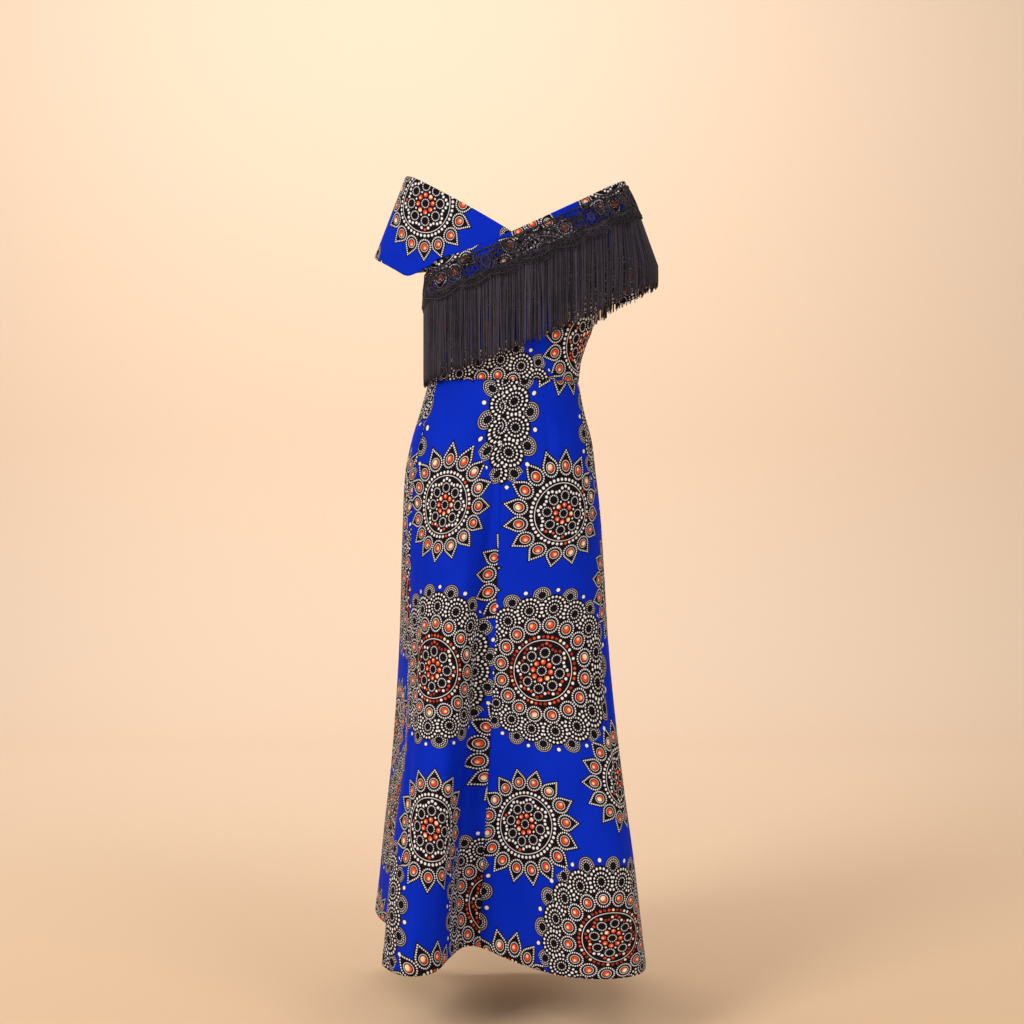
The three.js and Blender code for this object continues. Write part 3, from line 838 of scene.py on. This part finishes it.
def lattice(u0, v0, pulls=(), ease=0.0):
    """Print places so that a large medallion's middle is at (u0, v0). Each pull is a place on the cloth and
    how far the print is shifted there to the right and down. Ease shifts it sideways at the top."""

    def place(u, v):
        across = u - u0 + ease * (1 - smoothstep(v, 0, EASE_DEPTH))
        down = v - v0
        for at_u, at_v, right, lower in pulls:
            near = np.exp(-((u - at_u) ** 2 + (v - at_v) ** 2) / PULL_REACH**2)
            across = across - right * near
            down = down - lower * near
        return np.stack([across, down], -1)

    return place


def laid_on_grid(place):
    return lambda along, down, level, z: place(along * MM, down * MM)


def laid_level(place, top=0):
    return lambda along, down, level, z: place(level * MM, (top - z) * MM)


def laid_along_top(place):
    def on(along, down, level, z):
        across, lower = square_to_top(level, z)
        return place(across * MM, lower * MM)

    return on


def straight_edge(z):
    return lambda angle: np.full(angle.shape, float(z))


# The skirt

SKIRT_ROWS = 200
CENTRE_FOLDS = [
    [(110, -3, 9, 0), (176, -7, 10, -4), (310, -16, 12, -10), (443, -20, 13, -14),
     (578, -23, 14, -14), (694, -32, 15, -11), (809, -41, 16, -6), (926, -36, 16, 0)],
    [(150, -44, 13, 0), (245, -49, 14, 3.5), (378, -60, 15, 6), (527, -80, 16, 7),
     (673, -99, 16, 7), (802, -113, 15, 4), (950, -128, 14, 0)],
]
BACK_LEFT_FOLDS = [
    [(20, -88, 6, 0), (60, -92, 7, -1.8), (130, -97, 8, -1.4), (230, -104, 9, 0)],
    [(15, -110, 7, 0), (50, -114, 8, 1.5), (120, -121, 9, 1.2), (210, -130, 9, 0)],
    [(30, -34, 6, 0), (90, -36, 8, -1.4), (180, -40, 8, 0)],
    [(260, -150, 10, 0), (420, -158, 12, -3), (620, -168, 13, -3.5), (860, -196, 14, 0)],
    [(640, -215, 13, 0), (760, -228, 14, 3), (940, -260, 14, 0)],
]
BACK_RIGHT_FOLDS = [
    [(60, 76, 5, 0), (100, 80, 6, -1.8), (145, 85, 6, -1.6), (200, 92, 7, 0)],
    [(50, 92, 6, 0), (105, 98, 7, 1.6), (170, 104, 7, 0)],
    [(25, 30, 6, 0), (80, 34, 7, -1.4), (160, 40, 8, 0)],
    [(15, 128, 6, 0), (60, 136, 8, -1.8), (150, 150, 9, 0)],
    [(300, 62, 20, 0), (500, 76, 24, 2.5), (800, 92, 24, 2.5), (960, 98, 20, 0)],
    [(590, 192, 14, 0), (700, 180, 16, -4), (780, 166, 16, -5), (860, 152, 16, -4), (955, 140, 14, 0)],
    [(360, 200, 10, 0), (480, 212, 11, -3.5), (620, 236, 12, -3.5), (740, 262, 12, -2), (870, 292, 12, 0)],
    [(760, 230, 16, 0), (860, 238, 18, 3), (965, 246, 18, 0)],
]
FRONT_FOLDS = [
    [(60, 90, 9, 0), (200, 110, 12, -3), (500, 150, 16, -6), (800, 210, 18, -5), (960, 235, 16, 0)],
    [(80, 150, 12, 0), (300, 185, 16, 3), (600, 255, 20, 4.5), (900, 330, 20, 2), (970, 345, 18, 0)],
    [(120, 215, 10, 0), (330, 262, 13, -4), (620, 360, 17, -8), (860, 450, 18, -5), (970, 480, 16, 0)],
    [(100, 265, 12, 0), (360, 330, 15, 3), (700, 470, 20, 5), (960, 570, 20, 0)],
    [(60, 320, 9, 0), (260, 375, 12, -3.5), (560, 500, 16, -7), (840, 650, 18, -4), (970, 700, 16, 0)],
    [(150, 385, 10, 0), (420, 480, 13, -3), (720, 650, 16, -5), (960, 800, 16, 0)],
]
BACK_LEFT_PULLS = [
    (-0.12, 0.22, 0.025, -0.003), (-0.12, 0.13, 0, 0.012), (-0.12, 0.487, 0.018, 0.008),
    (-0.12, 0.754, -0.004, -0.005), (-0.12, 1.021, 0, 0.013), (0.0475, 0.3535, 0.0115, -0.017),
    (0.0475, 0.6205, 0.02, 0.003), (0.0475, 0.8875, -0.02, -0.005), (0.0475, 0.0865, 0.033, -0.028),
    (-0.12, -0.047, 0, -0.065), (-0.2875, 0.8875, -0.042, 0), (-0.2875, 0.0865, -0.02, 0),
    (-0.04, 0.22, -0.012, 0), (-0.2, 0.22, 0.022, 0), (-0.02, 0.487, -0.018, 0),
    (-0.05, 0.754, -0.022, 0.005), (-0.19, 0.754, 0.02, 0),
]
BACK_RIGHT_PULLS = [
    (0.095, 0.213, 0.0155, 0.021), (0.095, 0.48, -0.007, 0.0115), (0.095, 0.747, -0.009, -0.003),
    (0.095, 1.014, -0.022, 0.010), (0.095, -0.054, 0.015, -0.03), (0.2625, 0.6135, 0.003, 0.066),
    (0.2625, 0.8805, -0.011, 0.048), (-0.0725, 0.3465, -0.022, 0), (-0.0725, 0.6135, -0.022, 0),
    (-0.0725, 0.8805, -0.055, 0), (0.095, 0.83, 0, -0.012), (0.2625, 0.77, 0, 0.022),
    (-0.0725, 0.0795, -0.010, -0.003), (0.2625, 0.0795, 0.012, 0),
]
BACK_LEFT_PLACE = lattice(-0.12, 0.487, BACK_LEFT_PULLS, ease=-0.03)
BACK_RIGHT_PLACE = lattice(0.095, 0.48, BACK_RIGHT_PULLS)
for name, first, last, columns, origin, place, own, centre in (
    ("skirt_back_left", LEFT_SEAM, 360, 110, -1, BACK_LEFT_PLACE, BACK_LEFT_FOLDS, CENTRE_FOLDS),
    ("skirt_back_right", 0, RIGHT_SEAM, 126, 0, BACK_RIGHT_PLACE, BACK_RIGHT_FOLDS, CENTRE_FOLDS),
    ("skirt_front", RIGHT_SEAM, LEFT_SEAM, 176, 0, lattice(0.33, 0.35), FRONT_FOLDS, []),
):
    angles = np.linspace(first, last, columns)
    top, bottom = straight_edge(WAIST - SEAM_GAP), straight_edge(HEM)
    details = skirt_details(own, centre)
    place = laid_on_grid(place)
    shell(name, skirt, angles, SKIRT_ROWS, top, bottom, 0.0, CLOTH, place, details, origin, PRINT)

# The bodice

BODICE_BACK_CREASES = [
    (40, -240, 62, -350, 7, -1.6), (85, -262, 140, -232, 8, -1.8), (90, -290, 145, -268, 8, 1.5),
    (-52, -260, -70, -350, 8, -1.4), (95, -335, 142, -312, 7, -1.5), (-80, -300, -135, -270, 8, -1.4),
    (-10, -290, 2, -350, 8, 1.0),
]
BODICE_FRONT_CREASES = [
    (-58, -215, -48, -345, 3.5, -1.6), (58, -215, 48, -345, 3.5, -1.6), (80, -200, 140, -235, 8, -1.5),
    (-80, -200, -140, -235, 8, -1.5), (70, -320, 130, -295, 8, -1.3), (-70, -320, -130, -300, 8, -1.3),
]
MIDDLE = 70
BODICE_ROWS = 70
for name, side, place, rows in (
    ("bodice_back", BACK_SIDE, lattice(-0.016, 0.065), BODICE_BACK_CREASES),
    ("bodice_front", FRONT_SIDE, lattice(0.02, 0.06), BODICE_FRONT_CREASES),
):
    angles = np.linspace(*side, 2 * MIDDLE + 1)
    bottom = straight_edge(WAIST + SEAM_GAP)
    place, details = laid_level(place, WAIST), body_details(rows)
    shell(name, torso, angles, BODICE_ROWS, bodice_top, bottom, 0.0, CLOTH, place, details, MIDDLE, PRINT)

# The bands

BAND_ROWS = 50
LEFT_BAND_TURN = 14.0
WRAP_TURN = 10.0
LEFT_BAND_CREASES = [
    (-126, -128, -158, -184, 6.5, -4.2), (-114, -108, -147, -172, 9, 2.2),
    (-205, -85, -168, -150, 8, -2.0), (-188, -62, -152, -116, 9, 1.5), (-60, -58, -20, -96, 10, 0.8),
]
WRAP_BACK_PULLS = [(0.1895, -0.0625, -0.01, 0.035), (-0.1455, -0.0625, 0.005, 0.03)]
angles = np.linspace(-189, 9, 199)
place = laid_level(lattice(-0.1595, -0.213, [(-0.36, 0.19, 0.075, 0)]))
details = band_details(LEFT_BAND_CREASES, LEFT_BAND_TURN)
cut = (angles, BAND_ROWS, left_top, left_bottom, LEFT_BAND_LIFT, LEFT_BAND_CLOTH)
shell("left_shoulder_band", left_band, *cut, place, details, 189, WIDE_PRINT)
WRAP_CREASES = [
    (60, -70, 120, -20, 8, 1.0), (120, -95, 175, -30, 8, -1.4), (-60, -160, -120, -185, 9, -1.2),
]
for name, side, place in (
    ("wrap_band_back", BACK_SIDE, lattice(0.022, -0.196, WRAP_BACK_PULLS)),
    ("wrap_band_front", FRONT_SIDE, lattice(0.165, 0.085)),
):
    cut = (np.linspace(*side, 181), BAND_ROWS, wrap_top, wrap_bottom, WRAP_LIFT, CLOTH)
    shell(name, wrap_band, *cut, laid_along_top(place), band_details(WRAP_CREASES, WRAP_TURN), 90, PRINT)


# The wrap band's edge, for what is sewn along it


class Edge:
    """The wrap band's top edge walked by length, with points square down from it."""

    def __init__(self, first, last, count=721, step=0.25):
        self.angle = np.linspace(first, last, count)
        self.z = wrap_top(self.angle)
        point = wrap_band(self.angle, self.z)
        ahead, behind = self.angle + step, self.angle - step
        chord = wrap_band(ahead, self.z) - wrap_band(behind, self.z)
        self.width = np.linalg.norm(chord, axis=-1) / (2 * step)
        climb = (wrap_top(ahead) - wrap_top(behind)) / (2 * step)
        self.tilt = np.arctan2(climb, self.width)
        self.along = walked(point)
        self.length = self.along[-1]

    def below(self, along, down):
        tilt, angle, width, z = [
            np.interp(along, self.along, values) for values in (self.tilt, self.angle, self.width, self.z)
        ]
        return angle + down * np.sin(tilt) / width, z - down * np.cos(tilt)

    def place(self, along, down, lift):
        angle, z = self.below(np.asarray(along, float), np.asarray(down, float))
        out = outward(wrap_band, angle, z)
        return wrap_band(angle, z) + out * np.asarray(lift)[..., None], out


LACE_TOP, LACE_NOTCH, LACE_TIP, LACE_PITCH = 8, 56, 65, 55
LACE_DEPTH = 0.053
LACE_END = 0.2
TAPE_TOP, TAPE_BOTTOM, TAPE_COLUMNS = 43.5, 52.0, 160
OVER_TAPE = 44
THREAD_STEP, THREAD_TOP, THREAD_POINTS = 1.5, 49.5, 14
THREAD_LENGTH, THREAD_TRIM, THREAD_UNEVEN = 149, 13, 10
SWAY_STEP = 16.0
END_THREADS = 14


def lace_lift(down):
    """How far out the lace lies: it rises over the fringe's tape and stands off a little at its foot."""
    rise = smoothstep(down, LACE_TOP, OVER_TAPE) * (HEADER_LIFT + 2.5 - LACE_LIFT)
    return LACE_LIFT - 0.5 + rise + 1.6 * smoothstep(down, OVER_TAPE, LACE_TIP)


def closed(radius, count, turns=1.0):
    """A ring or a spiral, its radius given by the angle walked."""
    t = np.linspace(0, turns * TAU, count)
    rad = radius(t)
    return np.stack([rad * np.cos(t), rad * np.sin(t)], -1)


def lace_repeat(pitch, noise):
    """The cords of one repeat of the lace, each as points along and down it with a thickness."""
    # A rose of rings of petals round a spiral, with bars out from it
    middle = np.array([pitch / 2, 33.0])
    rose, bars = 17.3, 30
    cords = [
        (middle + closed(lambda t: 1.3 + t * 0.56, 44, turns=2.0), 1.1),
        (middle + closed(lambda t: 9.4 + 3.6 * np.abs(np.sin(3 * t)), 72), 1.15),
        (middle + closed(lambda t: 12.4 + 3.6 * np.abs(np.sin(3 * t + 0.5)), 72), 0.8),
        (middle + closed(lambda t: rose + 0.7 * np.cos(11 * t), 66), 1.0),
    ]
    for k in range(bars):
        t = (k + noise.uniform(-0.2, 0.2)) * TAU / bars
        way = np.linspace(0, 1, 5)
        rad = rose + way * noise.uniform(5, 11)
        bend = t + 0.18 * np.sin(way * math.pi) * noise.choice([-1, 1])
        bar = middle + np.stack([rad * np.cos(bend), rad * np.sin(bend)], -1)
        bar[:, 1] = np.clip(bar[:, 1], LACE_TOP + 1, LACE_NOTCH)
        cords.append((bar, 0.75))

    # A leaf with veins stands between the roses, with curls at its foot
    t = np.linspace(0, 1, 20)
    for side in (-1, 1):
        cords.append((np.stack([side * 7.0 * np.sin(t * math.pi) ** 0.8, 17 + 27 * t], -1), 1.05))
        cords.append((np.array([side * 9.5, 49.0]) + closed(lambda t: 0.9 + 0.4 * t, 22, 1.4), 0.95))
        cords.append((np.array([side * 10.5, 19.0]) + closed(lambda t: 0.8 + 0.36 * t, 20, 1.3), 0.85))
        cords.append((np.stack([side * (3.5 + 7 * t), 46 - 9 * t * t], -1)[::3], 0.85))
    cords.append((np.stack([0 * t, 18 + 26 * t], -1)[::2], 0.8))
    for k in range(6):
        y = 22 + 3.7 * k
        w = 6.3 * math.sin((y - 17) / 27 * math.pi) ** 0.8
        cords.append((np.array([[-w, y - 2.4], [0, y + 1], [w, y - 2.4]]), 0.65))

    # The scalloped foot: close wavy lines, then a row of loops
    t = np.linspace(0, 1, 42)
    arch = np.sin(t * math.pi)
    for line, size in enumerate((1.0, 0.7, 0.8, 0.7, 0.8, 0.7)):
        wave = 1.1 * np.sin(t * TAU * 8 + (line % 2) * math.pi) * (line > 0)
        down = LACE_NOTCH - 1 - 2.0 * line + (8 - 0.9 * line) * arch + wave
        cords.append((np.stack([t * pitch, down], -1), size))
    loops = 13
    for k in range(loops):
        s = (k + 0.5) / loops
        centre = np.array([s * pitch, LACE_NOTCH + 0.8 + 8 * math.sin(s * math.pi)])
        cords.append((centre + closed(lambda t: 2.2 + 0 * t, 9), 0.7))

    # The top edge: two waved cords that cross
    for side, size in ((1, 0.9), (-1, 0.8)):
        cords.append((np.stack([t * pitch, 10.2 + side * 1.5 * np.sin(t * TAU * 6)], -1), size))
    return cords


def lace_piece(side, edge, seed):
    noise = np.random.default_rng(seed)
    repeats = round(edge.length / LACE_PITCH)
    pitch = (edge.length - 2 * LACE_END) / repeats
    paths, outs, sizes = [], [], []
    for i in range(repeats):
        for flat, size in lace_repeat(pitch, noise):
            along = np.clip(LACE_END + i * pitch + flat[:, 0], LACE_END, edge.length - LACE_END)
            point, out = edge.place(along, flat[:, 1], lace_lift(flat[:, 1]) + noise.uniform(-0.3, 0.3))
            paths.append(point)
            outs.append(out)
            sizes.append(size)
    thing = make_mesh(f"lace_{side}_cords", *tubes(paths, outs, sizes), LACE, "black_lace")
    return thing, edge.length * LACE_DEPTH * MM


def hanging(edge, noise, layer, locks):
    """One row of threads: each falls straight from the band, clear of what bulges out under it."""
    count = int(edge.length / THREAD_STEP)
    shift = 0.25 + 0.5 * layer
    along = (np.arange(count) + shift + 0.25 * noise.uniform(-1, 1, count)) * edge.length / count
    angle, top = edge.below(along, THREAD_TOP + noise.uniform(-2, 2, count))
    share = np.linspace(0, 1, THREAD_POINTS)
    trim = np.where(signed(angle) > 0, smoothstep(from_centre(angle), 62, 90), 0)
    length = THREAD_LENGTH - THREAD_TRIM * trim - noise.uniform(0, THREAD_UNEVEN, count)
    drop = share * length[:, None]
    z = top[:, None] - drop
    a = np.broadcast_to(angle[:, None], z.shape)
    on_band = z > wrap_bottom(angle)[:, None] - 3
    held = np.where(on_band[..., None], wrap_band(a, z), torso(a, z))
    normal = outward(wrap_band, angle, top)
    flat = unit(normal * [1, 1, 0])
    push = ((held - held[:, :1]) * flat[:, None]).sum(-1)
    push = np.maximum.accumulate(np.maximum(push, 0), axis=1)
    lift = HEADER_LIFT - 0.9 + 1.3 * layer + noise.uniform(-0.3, 0.3, count)
    root = wrap_band(angle, top) + normal * lift[:, None]
    point = root[:, None] + flat[:, None] * push[..., None]
    point[..., 2] = root[:, None, 2] - drop

    # Threads draw together in locks, which leaves a few slits between them
    which = np.abs(along[:, None] - locks[None, :]).argmin(1)
    drawn = (locks[which] - along) * noise.uniform(0.1, 0.6, len(locks))[which]
    knots = np.arange(-2, int(edge.length / SWAY_STEP) + 4) * SWAY_STEP
    sway = np.interp(along, knots, noise.normal(0, 1.6, len(knots)))
    side = np.stack([-flat[:, 1], flat[:, 0], 0 * flat[:, 0]], -1)
    wander = (drawn + sway + noise.normal(0, 1.0, count))[:, None] * share**1.4
    bends, start = noise.uniform(3, 9, (count, 1)), noise.uniform(0, TAU, (count, 1))
    wander = wander + 0.4 * np.sin(share * bends + start)
    ends = (along < END_THREADS) | (along > edge.length - END_THREADS)
    wander[ends] *= 0.15
    point = point + side[:, None] * wander[..., None]
    outs = np.broadcast_to(flat[:, None], point.shape)
    return list(point), list(outs), list(noise.uniform(0.65, 0.9, count))


def fringe_piece(side, edge, seed):
    noise = np.random.default_rng(seed)
    locks = np.cumsum(noise.uniform(4, 16, int(edge.length / 4)))
    layers = [hanging(edge, noise, layer, locks) for layer in (0, 1)]
    paths, outs, sizes = [sum(part, []) for part in zip(*layers)]
    points, faces, uvs = tubes(paths, outs, sizes)

    # The header tape that the threads hang from, under the lace
    columns = np.linspace(0.15, edge.length - 0.15, TAPE_COLUMNS)
    grid_along, grid_down = np.meshgrid(columns, [TAPE_TOP, TAPE_BOTTOM], indexing="ij")
    outer, inner = [
        edge.place(grid_along, grid_down, np.full(grid_down.shape, HEADER_LIFT - depth))[0]
        for depth in (1.1, 1.9)
    ]
    tape_uv = np.tile(np.stack([grid_along, grid_down], -1).reshape(-1, 2) * MM, (2, 1))
    faces = np.concatenate([faces, sheet_faces(grid_down.shape) + len(points)])
    points = np.concatenate([points, outer.reshape(-1, 3), inner.reshape(-1, 3)])
    uvs = np.concatenate([uvs, tape_uv])
    return make_mesh(f"fringe_{side}_threads", points, faces, uvs, FRINGE, "black_fringe")


edges = {"back": Edge(-90, 90), "front": Edge(90, 270)}
lace = {side: lace_piece(side, edges[side], seed) for side, seed in (("back", 11), ("front", 12))}
fringe = {side: fringe_piece(side, edges[side], seed) for side, seed in (("back", 3), ("front", 4))}

# Hide the part's solids that the pieces stand for

for name, (thing, area, along, down) in pieces.items():
    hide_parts(name)
    float((along[-1] - along[0]).max() * MM) + 0.01
    float(down.max() * MM) + 0.005
for side, (thing, area) in lace.items():
    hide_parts("lace_" + side)
for side, thing in fringe.items():
    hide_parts("fringe_" + side)


# Stage: one pale sheet that runs from the floor up behind, and soft light

STAGE_HALF_WIDTH = 5.0
STAGE_NEAR, STAGE_FAR, STAGE_TOP = -4.4, 3.0, 3.4
CURVE, CURVE_STEPS = 1.2, 24
sweep = [(STAGE_NEAR, FLOOR), (STAGE_FAR, FLOOR)]
for i in range(1, CURVE_STEPS + 1):
    t = i / CURVE_STEPS * math.pi / 2
    sweep.append((STAGE_FAR + CURVE * math.sin(t), FLOOR + CURVE - CURVE * math.cos(t)))
sweep.append((STAGE_FAR + CURVE, STAGE_TOP))
points = [(x, y, z) for y, z in sweep for x in (-STAGE_HALF_WIDTH, STAGE_HALF_WIDTH)]
faces = [(2 * i, 2 * i + 1, 2 * i + 3, 2 * i + 2) for i in range(len(sweep) - 1)]
mesh = bpy.data.meshes.new("backdrop")
mesh.from_pydata(points, [], faces)
mesh.polygons.foreach_set("use_smooth", [True] * len(mesh.polygons))
backdrop = add_object("backdrop", mesh)
paper, tree, shader = new_material("pale_paper", Roughness=0.9, Specular_IOR_Level=0.1)
place = tree.nodes.new("ShaderNodeSeparateXYZ")
tree.links.new(tree.nodes.new("ShaderNodeTexCoord").outputs["Object"], place.inputs[0])
# Painted light and shade: the sheet's colour is drawn darker on the floor in front and lighter towards the
# back wall.
rise = ((Field(tree, place.outputs[1]) + 0.2) / STAGE_FAR).clamp()
tree.links.new(mix_colour(rise, srgb(235, 200, 163), srgb(246, 221, 195)), shader.inputs["Base Color"])
mesh.materials.append(paper)
for name, place, aim, size, power in (
    ("key", (-2.3, -2.4, 0.9), (0, 0, -0.6), (1.3, 1.6), 76),
    ("fill", (2.2, -2.7, 0.2), (0, 0, -0.7), (1.6, 2.0), 40),
    ("backdrop_light", (-0.6, 1.2, 2.5), (-0.6, 4.0, 0.0), (4.0, 1.0), 90),
):
    light = bpy.data.lights.new(name, "AREA")
    light.shape = "RECTANGLE"
    light.size, light.size_y = size
    light.energy = power
    thing = add_object(name, light)
    thing.location = place
    x, y, z = np.subtract(aim, place)
    thing.rotation_euler = (math.atan2(math.hypot(x, y), -z), 0, math.atan2(-x, y))
world = bpy.data.worlds.new("studio")
bpy.context.scene.world = world
world.use_nodes = True
sky = world.node_tree.nodes["Background"]
sky.inputs["Color"].default_value = (1.0, 0.96, 0.92, 1)
sky.inputs["Strength"].default_value = 0.36
bpy.context.scene.view_settings.view_transform = "Standard"
